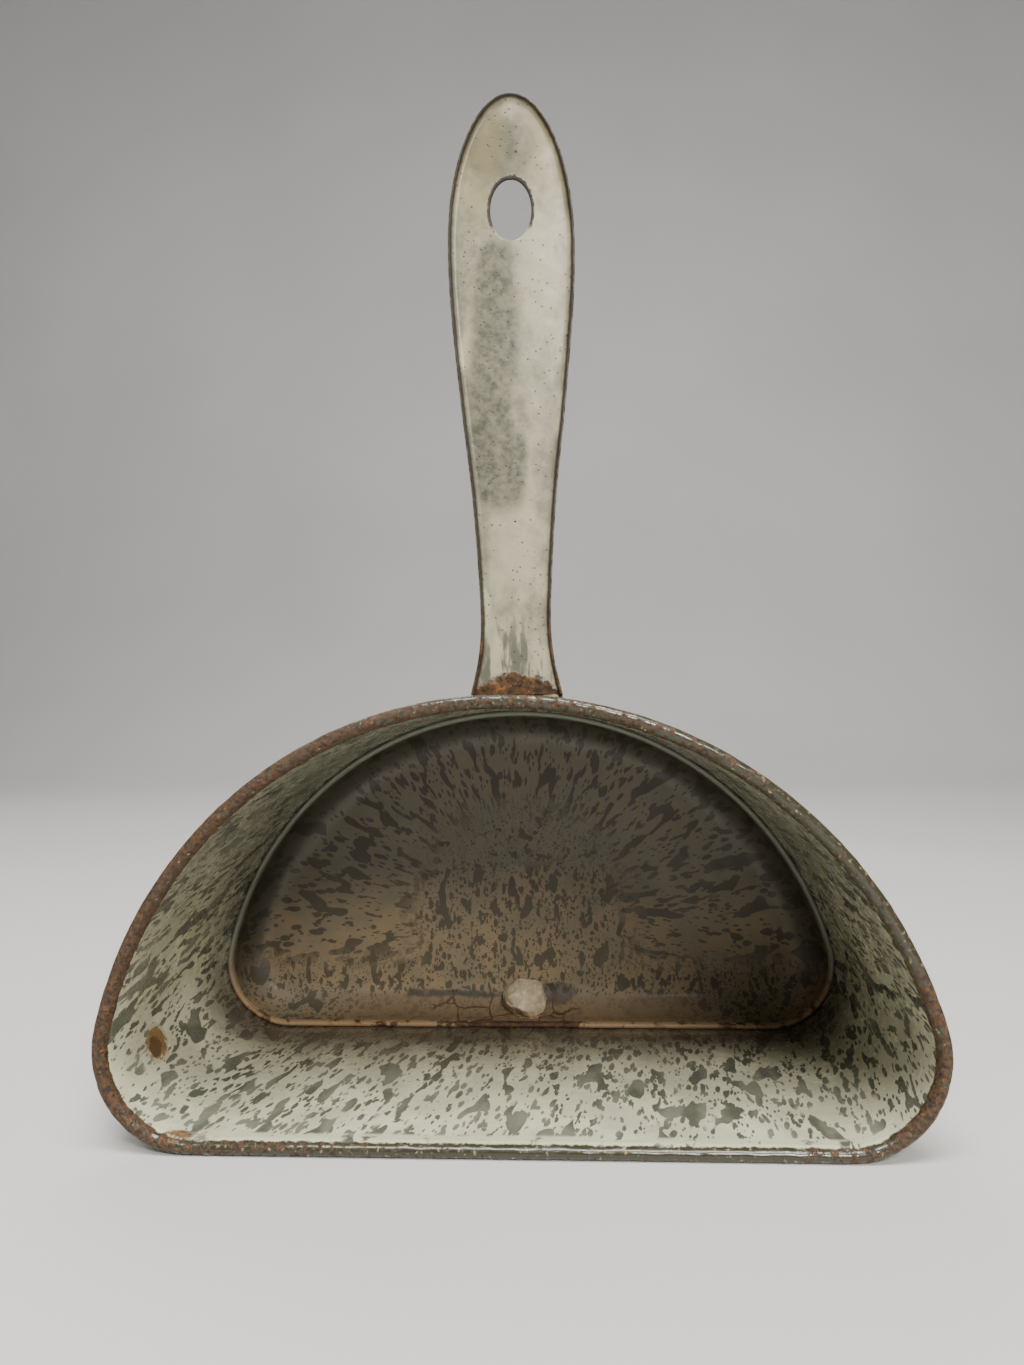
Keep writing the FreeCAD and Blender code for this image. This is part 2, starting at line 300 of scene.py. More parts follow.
def wall_point(s, inset, depth):
    """A point of the wall, with the small dents and the lumpy, chipped bead that handwork and use leave."""
    x, y, z = on_section(s, inset, depth)
    bead = max(0.0, 1.0 - depth / (2.4 * BEAD_RADIUS))
    dent = unevenness((x, y, z), 38.0, 0.5) * min(1.0, depth / 20.0) * min(1.0, (WALL_DEPTH - depth) / 20.0)
    lump = unevenness((x, y, z), 2.6, 0.16) + unevenness((x, y, z), 7.0, 0.16)
    shift = dent + bead * lump
    _, (nx, nz) = MOON.at(s)
    # On the flat side the outside may not bulge past the plane that the pan stands on.
    lift = max(shift, 0.0) if z < 1 else shift
    return (x + nx * shift, y + bead * unevenness((x + 50, y, z), 4.0, 0.15), z + nz * lift)


def make_wall():
    section = wall_section()
    places = around_mouth(WALL_STEP)
    points = [wall_point(s, *p) for s in places for p in section]
    wall = make_object("pan_wall", points, grid_faces(len(places), len(section)))
    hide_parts("wall_sheet")
    return wall


# ---- base dish


def dish_chains():
    """Front and back faces of the dish's rim and sides, each from the lip to where the bottom is flat."""
    lip, corner = DISH["lip"], DISH["corner"]
    bore = LIP_RADIUS - SHEET
    front = join(
        arc_points(lip, LIP_RADIUS, -180, 0, 12),
        line_points(on_circle(lip, LIP_RADIUS, 0), on_circle(corner, DISH_FILLET, 180), 4),
        arc_points(corner, DISH_FILLET, 180, 90, 16),
    )
    back = join(
        arc_points(lip, bore, -180, 0, 4),
        line_points(on_circle(lip, bore, 0), on_circle(corner, DISH_FILLET + SHEET, 180), 2),
        arc_points(corner, DISH_FILLET + SHEET, 180, 90, 8),
    )
    return front, back


def dish_point(s, inset, depth, share=0.0):
    """A point of the dish; share is how far it has moved from the edge of the flat bottom to its centre."""
    x, y, z = on_section(s, inset, depth)
    x += (DISH_CENTRE[0] - x) * share
    z += (DISH_CENTRE[1] - z) * share
    flat = min(1.0, max(0.0, (inset - DISH["side"]) / DISH_FILLET))
    return (x, y + flat * (unevenness((x, 0, z), 45.0, 0.45) + unevenness((x, 9, z), 14.0, 0.08)), z)


def inset_of(p):
    """How far a point is inside the outline of the mouth, in millimetres."""
    left, right = p.x < MOON.left, p.x > MOON.right
    crown = CROWN_RADIUS_LEFT if p.x < 0 else CROWN_RADIUS_RIGHT
    arch = crown - math.hypot(p.x, p.z - (MOUTH_HEIGHT - crown))
    if (left or right) and p.z < CORNER_RADIUS:
        end = MOON.left if left else MOON.right
        return min(arch, CORNER_RADIUS - math.hypot(p.x - end, p.z - CORNER_RADIUS))
    return min(arch, p.z)


def mark_vertices(piece, name, measure):
    """Stores measure(point in the pan's axes, mm) at each vertex as the attribute of that name."""
    layer = piece.data.attributes.new(name, "FLOAT", "POINT")
    pan = piece.data.attributes["pan"].data
    layer.data.foreach_set("value", [measure(Vector(pan[i].vector) / MM) for i in range(len(pan))])


def make_dish():
    front, back = dish_chains()
    places = around_mouth(DISH_STEP)
    edge = DISH["corner"][0]
    shares = [i / DISH_RINGS for i in range(1, DISH_RINGS)]
    points = []
    for s in places:
        points += [dish_point(s, *p) for p in reversed(back)]
        points += [dish_point(s, *p) for p in front]
        points += [dish_point(s, edge, DISH["bottom"], share) for share in shares]
    columns, count = len(places), len(front) + len(back) + len(shares)
    faces = grid_faces(columns, count, wrap_rows=False)
    middle = len(points)
    points.append(dish_point(0.0, edge, DISH["bottom"], 1.0))
    faces += [(i * count + count - 1, (i + 1) % columns * count + count - 1, middle) for i in range(columns)]
    begin = len(points)
    for s in places:
        points += [dish_point(s, edge, DISH["bottom"] + SHEET, share) for share in [0.0] + shares]
    rows_back = len(shares) + 1
    faces += grid_faces(columns, rows_back, wrap_rows=False, start=begin)
    hub = len(points)
    points.append(dish_point(0.0, edge, DISH["bottom"] + SHEET, 1.0))
    for i in range(columns):
        j = (i + 1) % columns
        faces.append((begin + i * rows_back + rows_back - 1, begin + j * rows_back + rows_back - 1, hub))
        faces.append((i * count, j * count, begin + j * rows_back, begin + i * rows_back))
    dish = make_object("pan_base", points, faces)
    mark_vertices(dish, "inset", inset_of)
    outside = [float(i >= begin or i < middle and i % count < len(back)) for i in range(len(points))]
    dish.data.attributes.new("outside", "FLOAT", "POINT").data.foreach_set("value", outside)
    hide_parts("base_dish")
    return dish


# ---- handle


def blade_half_width(height):
    """Half-width of the blade at a height above the rim: a curve through BLADE_SIDE, then an ellipse."""
    if height >= BLADE_SIDE[-1][0]:
        span = HANDLE_LENGTH - BLADE_SIDE[-1][0]
        return BLADE_SIDE[-1][1] * math.sqrt(max(0.0, 1 - ((height - BLADE_SIDE[-1][0]) / span) ** 2))
    knots = BLADE_SIDE

    def slope(i):
        if i == 0:
            return (knots[1][1] - knots[0][1]) / (knots[1][0] - knots[0][0])
        if i == len(knots) - 1:
            return 0.0
        return (knots[i + 1][1] - knots[i - 1][1]) / (knots[i + 1][0] - knots[i - 1][0])

    for i in range(len(knots) - 1):
        if height <= knots[i + 1][0]:
            break
    length = knots[i + 1][0] - knots[i][0]
    t = (height - knots[i][0]) / length
    a, b = (1 + 2 * t) * (1 - t) ** 2, t**2 * (3 - 2 * t)
    c, d = t * (1 - t) ** 2 * length, t**2 * (t - 1) * length
    return a * knots[i][1] + b * knots[i + 1][1] + c * slope(i) + d * slope(i + 1)


def blade_rays():
    """Round the blade's edge: (edge point, point of the middle line that it looks at), in (x, height)."""
    tip_start, wide = BLADE_SIDE[-1]
    tall = HANDLE_LENGTH - tip_start
    count = round(tip_start / BLADE_STEP)
    side = [((blade_half_width(h), h), (0.0, h)) for h in (tip_start * i / count for i in range(count))]
    turns = round(tall * 1.3 / BLADE_STEP)
    angles = {math.pi / 2 * i / turns for i in range(turns + 1)}
    focus = (tall**2 - wide**2) / tall
    # Rays crowd together where they graze the two ends of the hanging hole, to keep its outline round.
    for end in (-1, 1):
        at = HANG_HOLE_HEIGHT + end * HANG_HOLE_SIZE[1] / 2 - tip_start
        angles.add(math.asin((at + end * 0.003) / focus))
        for near in range(14):
            height = at - end * (0.004 + 0.012 * near**2)
            if height > 0:
                angles.add(math.asin(height / focus))
    tip = []
    for angle in sorted(angles):
        edge = (wide * math.cos(angle), tip_start + tall * math.sin(angle))
        tip.append((edge, (0.0, tip_start + focus * math.sin(angle))))
    return side + tip


def in_hole(x, height):
    wide, tall = HANG_HOLE_SIZE[0] / 2, HANG_HOLE_SIZE[1] / 2
    return math.hypot(x / wide, (height - HANG_HOLE_HEIGHT) / tall) < 1.0


def ray_length(edge, axis):
    """How far a ray runs in before the middle line or the hanging hole, and whether it met the hole."""
    full = math.hypot(edge[0] - axis[0], edge[1] - axis[1])
    if not in_hole(*axis):
        return full, False
    low, high = 0.0, 1.0
    for _ in range(30):
        mid = (low + high) / 2
        at = (edge[0] + (axis[0] - edge[0]) * mid, edge[1] + (axis[1] - edge[1]) * mid)
        low, high = (low, mid) if in_hole(*at) else (mid, high)
    return full * low, True


def blade_section(reach, full, holed):
    """(inset, depth) across the blade: back, round back edge, raised edge, hollow, crowned front face."""
    front = BLADE_BACK - EDGE_HEIGHT
    crown, hollow, count = 0.8, 1.7, 12
    top = EDGE_WIDTH / 2

    def face(inset, level):
        return level - crown * math.sin(math.pi / 2 * min(1.0, inset / full))

    floor = front + EDGE_HEIGHT - HANDLE_SHEET
    inner = max(reach - (HOLE_LIP if holed else 0.0), EDGE_WIDTH + hollow + 0.2)
    back = [inner + (EDGE_WIDTH - inner) * i / count for i in range(count + 1)]
    edge = arc_points((1.0, BLADE_BACK - 1.0), 1.0, 90, 180, 5)
    ridge = arc_points((top, front + top), top, 180, 360, 8)
    slope = []
    for i in range(1, 9):
        t = i / 8
        inset = EDGE_WIDTH + hollow * t
        slope.append((inset, front + top + (face(inset, floor) - front - top) * (1 - (1 - t) ** 2.4)))
    start = slope[-1][0]
    across = [start + (inner - start) * i / count for i in range(1, count + 1)]
    behind = [(inset, face(inset, BLADE_BACK)) for inset in back]
    return behind + edge + ridge + slope + [(inset, face(inset, floor)) for inset in across]


def hole_lip(section):
    """Round lip of the hanging hole, from the front face of a section to its back face."""
    inner, front = section[-1]
    back = section[0][1]
    middle, half = (front + back) / 2, (back - front) / 2
    turns = [math.pi * i / 8 for i in range(1, 8)]
    return [(inner + HOLE_LIP * math.sin(a), middle - half * math.cos(a)) for a in turns]


def make_blade():
    rays = blade_rays()
    points, faces = [], []

    def put(side, edge, inward, section):
        begin = len(points)
        for inset, depth in section:
            x, height = edge[0] + inward[0] * inset, edge[1] + inward[1] * inset
            ripple = unevenness((side * x, depth, height), 3.0, 0.06)
            ripple += unevenness((side * x, 0, height), 24.0, 0.25)
            lean = HANDLE_LEAN * height / HANDLE_LENGTH
            points.append((HANDLE_X + lean + side * x, depth + ripple, MOUTH_HEIGHT + height))
        return begin

    def strip(first, second, count):
        faces.extend((first + k, second + k, second + k + 1, first + k + 1) for k in range(count - 1))

    for side in (1, -1):
        last = last_lip = None
        for edge, axis in rays:
            full = math.hypot(edge[0] - axis[0], edge[1] - axis[1])
            reach, holed = ray_length(edge, axis)
            inward = ((axis[0] - edge[0]) / full, (axis[1] - edge[1]) / full)
            section = blade_section(reach, full, holed)
            begin = put(side, edge, inward, section)
            lip = None
            if holed:
                lip = put(side, edge, inward, [section[-1], *hole_lip(section), section[0]])
            if last is not None:
                strip(last, begin, len(section))
            if lip is not None and last_lip is not None:
                strip(last_lip, lip, 9)
            last, last_lip = begin, lip
    blade = make_object("handle_blade", points, faces)
    weld(blade, WELD_DISTANCE * MM)
    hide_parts("handle")
    return blade


def weld(piece, distance):
    shape = bmesh.new()
    shape.from_mesh(piece.data)
    bmesh.ops.remove_doubles(shape, verts=shape.verts, dist=distance)
    bmesh.ops.dissolve_degenerate(shape, edges=shape.edges, dist=distance / 10)
    bmesh.ops.recalc_face_normals(shape, faces=shape.faces)
    shape.to_mesh(piece.data)
    shape.free()


def crown_height(x, depth):
    """Height of the wall's outside over x, on the crown."""
    share = (depth - BEAD_RADIUS) / (WALL_DEPTH - BEAD_RADIUS)
    inset = (2 * BEAD_RADIUS - SHEET) + share * (WALL_END_INSET - 2 * BEAD_RADIUS)
    radius = CROWN_RADIUS_RIGHT if x > 0 else CROWN_RADIUS_LEFT
    return MOUTH_HEIGHT - radius + math.sqrt((radius - inset) ** 2 - x * x)


def make_foot():
    """Saddle foot behind the rim: lies on the crown, bends up into the blade, and ends round."""
    across, along = 28, 26
    shapes = []
    for i in range(across + 1):
        u = FOOT_HALF_WIDTH * (2 * i / across - 1)
        x = HANDLE_X + u
        end = FOOT_END - FOOT_HALF_WIDTH + math.sqrt(max(0.0, FOOT_HALF_WIDTH**2 - u * u))
        bend = BLADE_BACK + BEND_RADIUS
        lower, upper = [], []
        rise = HANDLE_SHEET + BEND_RADIUS
        centre = (crown_height(x, bend) + rise, bend)
        root = MOUTH_HEIGHT + 0.4
        for angle in (90, 75, 60, 45, 30, 15, 0):
            a = math.radians(angle)
            inner, outer = BEND_RADIUS, BEND_RADIUS + HANDLE_SHEET
            lower.append((centre[0] - outer * math.cos(a), centre[1] - outer * math.sin(a)))
            upper.append((centre[0] - inner * math.cos(a), centre[1] - inner * math.sin(a)))
        lower.insert(0, (max(root, lower[0][0]), lower[0][1]))
        upper.insert(0, (max(root, upper[0][0]), upper[0][1]))
        for k in range(1, along + 1):
            depth = bend + (end - bend) * k / along
            lower.append((crown_height(x, depth), depth))
            upper.append((crown_height(x, depth) + HANDLE_SHEET, depth))
        lip = HANDLE_SHEET * 0.3
        upper[-1] = (upper[-1][0] - lip, upper[-1][1])
        shapes.append([(x, y, z) for z, y in lower + upper[::-1]])
    points = [p for shape in shapes for p in shape]
    count = len(shapes[0])
    faces = grid_faces(len(shapes), count, wrap_columns=False)
    half = count // 2
    for i in (0, len(shapes) - 1):
        for k in range(half - 1):
            a = i * count + k
            b = i * count + count - 1 - k
            faces.append((a, a + 1, b - 1, b))
    foot = make_object("handle_foot", points, faces)
    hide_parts("handle")
    return foot


# ---- repair plug


def make_plug():
    """Crumpled wad of putty: a half ellipsoid broken into creased facets, in the low corner of the dish."""
    wide, deep, tall = PLUG_SIZE
    shape = bmesh.new()
    bmesh.ops.create_icosphere(shape, subdivisions=6, radius=1.0)
    # noise_vector takes its offsets from the clock unless it is seeded.
    noise.seed_set(1)
    planes = []
    for i in range(PLUG_FACETS):
        level = 1 - 2 * (i + 0.5) / PLUG_FACETS
        ring, turn = math.sqrt(1 - level * level), i * 2.39996
        jitter = noise.noise_vector((i * 1.7, 3.1, 0.4)) * 0.55
        normal = (Vector((ring * math.cos(turn), ring * math.sin(turn), level)) + jitter).normalized()
        planes.append((normal, 0.90 + 0.13 * noise.noise((i * 0.9, 7.3, 1.9))))
    points = []
    for vert in shape.verts:
        at = vert.co.copy()
        facet = min(reach / normal.dot(at) for normal, reach in planes if normal.dot(at) > 0.3)
        facet = min(facet, 1.12) + 0.13 * noise.noise(at * 1.5) + 0.02 * noise.noise(at * 7.0)
        at *= facet
        y = at.y * deep if at.y < 0 else at.y * 0.4
        low = max(0.0, -at.z)
        across = PLUG_X + at.x * wide / 2 * (1.06 + 0.1 * low)
        points.append((across, DISH["bottom"] + y - 0.3 - 3.0 * low, PLUG_HEIGHT + at.z * tall / 2))
    faces = [tuple(v.index for v in face.verts) for face in shape.faces]
    shape.free()
    side_floor = DISH["side"] + DISH_DRAFT

    def settle(p):
        x, y, z = p
        low = side_floor + DISH_FILLET
        if z < low:
            reach = math.sqrt(max(0.0, DISH_FILLET**2 - min(DISH_FILLET, low - z) ** 2))
            y = min(y, DISH["bottom"] - DISH_FILLET + reach + 0.2)
        return (x, y, max(z, side_floor - 0.1))

    plug = make_object("putty_wad", [settle(p) for p in points], faces)
    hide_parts("repair_plug")
    return plug


# ---- material helpers


class Shader:
    """A node material built by short calls. An input is named, or i0, i1 and so on by its place."""

    def __init__(self, name):
        self.material = bpy.data.materials.new(name)
        self.material.use_nodes = True
        self.tree = self.material.node_tree
        self.tree.nodes.clear()
        self.output = self.tree.nodes.new("ShaderNodeOutputMaterial")

    def node(self, kind, settings=None, **inputs):
        made = self.tree.nodes.new(kind)
        for key, value in (settings or {}).items():
            setattr(made, key, value)
        for key, value in inputs.items():
            numbered = key[0] == "i" and key[1:].isdigit()
            self.put(made.inputs[int(key[1:]) if numbered else key.replace("_", " ")], value)
        return made

    def put(self, socket, value):
        if isinstance(value, bpy.types.NodeSocket):
            self.tree.links.new(value, socket)
        elif socket.type == "RGBA" and len(value) == 3:
            socket.default_value = (*value, 1.0)
        else:
            socket.default_value = value

    def math(self, operation, a, b=0.0, c=0.0):
        return self.node("ShaderNodeMath", {"operation": operation}, i0=a, i1=b, i2=c).outputs[0]

    def times(self, a, b):
        return self.math("MULTIPLY", a, b)

    def scaled(self, a, factor, offset):
        return self.math("MULTIPLY_ADD", a, factor, offset)

    def plus(self, a, b):
        return self.math("ADD", a, b)

    def minus(self, a, b):
        return self.math("SUBTRACT", a, b)

    def over(self, a, b):
        return self.math("DIVIDE", a, b)

    def size(self, a):
        return self.math("ABSOLUTE", a)

    def pan(self):
        """Position in the pan's own axes, in metres."""
        return self.attribute("pan", "Vector")

    def split(self, vector):
        return self.node("ShaderNodeSeparateXYZ", None, Vector=vector).outputs

    def vector(self, x, y, z):
        return self.node("ShaderNodeCombineXYZ", None, X=x, Y=y, Z=z).outputs[0]

    def noise(self, where, size, detail=2.0, rough=0.5, out="Fac"):
        """Noise with features about size millimetres across."""
        inputs = {"Vector": where, "Scale": 1 / (size * MM), "Detail": detail, "Roughness": rough}
        return self.node("ShaderNodeTexNoise", None, **inputs).outputs[out]

    def cells(self, where, size, feature="F1"):
        """Distance to the nearest point of random cells about size millimetres across, or to their edge."""
        made = self.node("ShaderNodeTexVoronoi", {"feature": feature}, Vector=where, Scale=1 / (size * MM))
        return made.outputs["Distance"]

    def ramp(self, value, low, high, a=0.0, b=1.0):
        """value from low..high to a..b, with soft ends, clamped."""
        inputs = {"Value": value, "From_Min": low, "From_Max": high, "To_Min": a, "To_Max": b}
        return self.node("ShaderNodeMapRange", {"interpolation_type": "SMOOTHSTEP"}, **inputs).outputs[0]

    def vector_math(self, operation, a, b=None, out=0, **inputs):
        if b is not None:
            inputs["i1"] = b
        return self.node("ShaderNodeVectorMath", {"operation": operation}, i0=a, **inputs).outputs[out]

    def attribute(self, name, out="Fac"):
        return self.node("ShaderNodeAttribute", {"attribute_name": name}).outputs[out]

    def mix(self, share, a, b, blend="MIX"):
        made = self.tree.nodes.new("ShaderNodeMix")
        made.data_type = "RGBA"
        made.blend_type = blend
        self.put(made.inputs[0], share)
        self.put(made.inputs[6], a)
        self.put(made.inputs[7], b)
        return made.outputs[2]

    def bump(self, height, strength, distance, normal=None):
        made = self.node("ShaderNodeBump", None, Height=height, Strength=strength, Distance=distance * MM)
        if normal is not None:
            self.put(made.inputs["Normal"], normal)
        return made.outputs[0]

    def most(self, *values):
        out = values[0]
        for value in values[1:]:
            out = self.math("MAXIMUM", out, value)
        return out

    def finish(self, colour, roughness, relief, **inputs):
        inputs |= {"Base_Color": colour, "Roughness": roughness, "Normal": relief}
        surface = self.node("ShaderNodeBsdfPrincipled", None, **inputs)
        self.tree.links.new(surface.outputs[0], self.output.inputs[0])
        return self.material


# Linear colours.
ENAMEL_LIGHT = (0.605, 0.590, 0.425)
ENAMEL_DARK = (0.105, 0.112, 0.084)
BASE_LIGHT = (0.240, 0.172, 0.096)
BASE_SHADE = (0.150, 0.122, 0.082)
BASE_DARK = (0.070, 0.056, 0.032)
OLIVE = (0.036, 0.034, 0.017)
OXIDE = (0.090, 0.042, 0.013)
OXIDE_DARK = (0.016, 0.009, 0.005)
RUST_ORANGE = (0.310, 0.132, 0.034)
TAN = (0.270, 0.172, 0.085)
HANDLE_LIGHT = (0.460, 0.425, 0.290)
HANDLE_CLOUD = (0.072, 0.073, 0.054)
OCHRE = (0.215, 0.175, 0.080)
ENAMEL_THIN = (0.205, 0.210, 0.160)
SEAM_DARK_BROWN = (0.045, 0.032, 0.022)
OLIVE_WORN = (0.330, 0.260, 0.120)
CHIP_HALO = (0.300, 0.215, 0.120)
CHIP_RUST = (0.240, 0.140, 0.046)
CHIP_CORE = (0.115, 0.062, 0.022)
CORNER_RUST = (0.250, 0.118, 0.034)
CORNER_RUST_DARK = (0.080, 0.036, 0.012)
BASE_GREY = (0.110, 0.115, 0.088)
BASE_DARK_SHADED = (0.048, 0.036, 0.026)
FILLET_SHADE_COLOUR = (0.018, 0.017, 0.015)
SMEAR = (0.016, 0.015, 0.012)
TAN_WASH = (0.130, 0.086, 0.045)
OUTER_LIGHT = (0.430, 0.410, 0.295)
OUTER_DARK = (0.105, 0.100, 0.070)
LIP_GREY = (0.200, 0.205, 0.165)
CRACK_RUST = (0.060, 0.022, 0.010)
PINHOLE = (0.050, 0.045, 0.035)
RUST_PIT = (0.040, 0.012, 0.008)
EDGE_SHADE_GREY = (0.100, 0.095, 0.062)
EDGE_SHADE_DARK = (0.020, 0.015, 0.011)
BARE_STEEL = (0.200, 0.180, 0.140)
PUTTY_DARK = (0.340, 0.270, 0.170)
PUTTY_LIGHT = (0.520, 0.440, 0.300)
PUTTY_RUST = (0.200, 0.085, 0.030)
PUTTY_CREASE_SHADE = (0.130, 0.090, 0.050)
RIVET_ENAMEL = (0.100, 0.100, 0.085)
WIRE_STEEL = (0.200, 0.190, 0.170)
WIRE_RUST = (0.090, 0.060, 0.045)
FLOOR_DARK = (0.600, 0.595, 0.580)
FLOOR_LIGHT = (0.640, 0.635, 0.620)

# Places of single marks, in the pan's own axes (mm).
CHIP_AT = (-116, 36, 21.5)
CHIP_CORE_AT = (-116, 34.5, 20.5)
CORNER_RUST_AT = (-101, 4.5, 3.4)


def warped(m, where, size, amount):
    """where pushed about by a noise, so that the shapes drawn on it are irregular."""
    push = m.noise(where, size, 2.0, 0.5, "Color")
    centred = m.vector_math("SUBTRACT", push, (0.5, 0.5, 0.5))
    return m.vector_math("ADD", where, m.vector_math("SCALE", centred, Scale=amount * MM))


def mottle(m, where, scale=1.0, more=0.0):
    """Graniteware mottling: run-together blobs, medium ovals and fine specks, from 0 to 1."""
    place = warped(m, where, 4.0 * scale, 1.6 * scale)
    blobs = m.ramp(m.noise(place, 5.2 * scale, 1.0, 0.4), 0.600 - more, 0.622 - more)
    runs = m.ramp(m.noise(place, 2.9 * scale, 2.0, 0.45), 0.618 - more, 0.640 - more)
    ovals = m.ramp(m.cells(place, 3.0 * scale), 0.27 + more, 0.33 + more, 1.0, 0.0)
    keep = m.ramp(m.noise(where, 10.0 * scale, 1.0), 0.40, 0.46)
    specks = m.ramp(m.cells(place, 1.5 * scale), 0.24, 0.31, 1.0, 0.0)
    few = m.ramp(m.noise(where, 6.0 * scale, 1.0), 0.44, 0.50)
    return m.most(blobs, runs, m.times(ovals, keep), m.times(specks, few))


def rust_colour(m, where, size=1.6):
    """Rust from near-black crust to bright orange, by a noise."""
    low = m.ramp(m.noise(where, size, 4.0, 0.65), 0.35, 0.62)
    high = m.ramp(m.noise(where, size * 1.4, 4.0, 0.65), 0.55, 0.80)
    return m.mix(high, m.mix(low, OXIDE_DARK, OXIDE), RUST_ORANGE)


def spot(m, where, centre, radii, ragged=0.35, size=2.0, soft=0.06):
    """1 inside a ragged ellipsoid about centre (mm, pan axes), 0 outside; soft is its edge's half-width."""
    offset = m.vector_math("SUBTRACT", where, tuple(v * MM for v in centre))
    stretched = m.vector_math("DIVIDE", offset, tuple(v * MM for v in radii))
    length = m.vector_math("LENGTH", stretched, out="Value")
    rough = m.scaled(m.noise(where, size, 3.0, 0.6), 2 * ragged, -ragged)
    return m.ramp(m.plus(length, rough), 0.98 - soft, 0.98 + soft, 1.0, 0.0)


def wall_material():
    m = Shader("mottled_enamel_aged_painted_light")
    where = m.pan()
    x, y, z = m.split(where)
    # Mottles run into the pan, leaning a little to the right on the flat side.
    leaning = m.vector(
        m.scaled(y, -0.12, x), m.times(y, 0.28), m.scaled(y, -0.10, z)
    )
    mask = mottle(m, leaning, 1.0, 0.014)
    cloud_and_shade = m.ramp(m.noise(where, 22.0, 2.0), 0.35, 0.65, 0.86, 1.10)
    # Painted shade: the wall is darker towards the crown.
    cloud_and_shade = m.times(cloud_and_shade, m.ramp(z, 0.035, 0.085, 1.0, 0.60))
    light = m.mix(1.0, ENAMEL_LIGHT, m.vector(cloud_and_shade, cloud_and_shade, cloud_and_shade), "MULTIPLY")
    thin = m.ramp(m.noise(leaning, 9.0, 2.0), 0.40, 0.62)
    dark = m.mix(thin, ENAMEL_DARK, ENAMEL_THIN)
    colour = m.mix(mask, light, dark)
    # Darker brown deep in the wall where it meets the base, most along the flat side.
    deep = m.ramp(m.plus(y, m.times(m.noise(where, 8.0), 0.014)), 0.068, 0.110)
    low = m.ramp(z, 0.045, 0.010)
    seam_dark = m.times(deep, m.scaled(low, 0.75, 0.15))
    colour = m.mix(seam_dark, colour, SEAM_DARK_BROWN)
    # Worn rim: the enamel is chipped to brown oxide, with olive enamel left between.
    ragged = m.scaled(m.noise(where, 2.5, 3.0, 0.6), 0.0022, -0.0011)
    bead = m.ramp(z, 0.003, 0.010, 0.0019, 0.0030)
    rim = m.ramp(m.minus(m.plus(y, ragged), bead), 0.0004, -0.0004)
    side = m.ramp(x, -0.125, 0.020, 0.17, 0.0)
    lower_right = spot(m, where, (125, 0, 20), (45, 30, 34), 0.2, 8.0)
    crown = m.ramp(z, 0.100, 0.132, 0.0, 0.05)
    flat = m.ramp(z, 0.012, 0.002, 0.0, 0.075)
    lean = m.plus(m.minus(m.plus(side, crown), flat), m.times(lower_right, 0.12))
    chips = m.ramp(m.plus(m.noise(where, 2.2, 5.0, 0.68), lean), 0.535, 0.595)
    oxide = rust_colour(m, where, 1.3)
    olive = m.mix(m.ramp(m.noise(where, 1.5, 3.0), 0.60, 0.74), OLIVE, OLIVE_WORN)
    # Painted highlight: a broken band of plain light enamel, without mottles, just inside the lower rim.
    shoulder = m.times(m.ramp(m.plus(y, ragged), 0.0017, 0.0025), m.ramp(y, 0.0085, 0.0060))
    shoulder = m.times(shoulder, m.times(m.ramp(z, 0.012, 0.008), m.ramp(x, -0.098, -0.080)))
    broken = m.times(shoulder, m.ramp(m.noise(where, 7.0, 3.0), 0.36, 0.46))
    colour = m.mix(broken, colour, ENAMEL_LIGHT)
    colour = m.mix(rim, colour, olive)
    worn = m.times(rim, chips)
    colour = m.mix(worn, colour, oxide)
    # Single marks: a chip low on the left side, and rust at the lower left corner of the rim.
    chip = spot(m, where, CHIP_AT, (4, 6.5, 5.2), 0.45, 2.4)
    core = spot(m, where, CHIP_CORE_AT, (3, 4.5, 3.4), 0.45, 2.4)
    corner = spot(m, where, CORNER_RUST_AT, (10, 3.4, 2.4), 0.7, 2.6, 0.15)
    halo = m.times(spot(m, where, CHIP_AT, (5, 8.5, 6.8), 0.3, 3.0), 0.4)
    colour = m.mix(halo, colour, CHIP_HALO)
    colour = m.mix(chip, colour, CHIP_RUST)
    colour = m.mix(core, colour, CHIP_CORE)
    orange = m.mix(m.ramp(m.noise(where, 2.0, 4.0, 0.65), 0.38, 0.60), CORNER_RUST_DARK, CORNER_RUST)
    colour = m.mix(m.times(corner, 0.9), colour, orange)
    rusty = m.most(worn, chip, corner)
    roughness = m.ramp(rusty, 0.0, 1.0, 0.20, 0.62)
    roughness = m.plus(roughness, m.ramp(m.noise(where, 3.0, 3.0), 0.3, 0.7, -0.04, 0.10))
    relief = m.bump(m.noise(where, 7.0, 2.0), 0.30, 0.45)
    relief = m.bump(mask, 0.12, 0.10, relief)
    relief = m.bump(m.times(m.noise(where, 0.9, 5.0, 0.7), rusty), 0.9, 0.5, relief)
    relief = m.bump(m.minus(1.0, rusty), 0.5, 0.25, relief)
    coat = m.ramp(rusty, 0.0, 1.0, 0.25, 0.0)
    return m.finish(colour, roughness, relief, Coat_Weight=coat, Coat_Roughness=0.08)


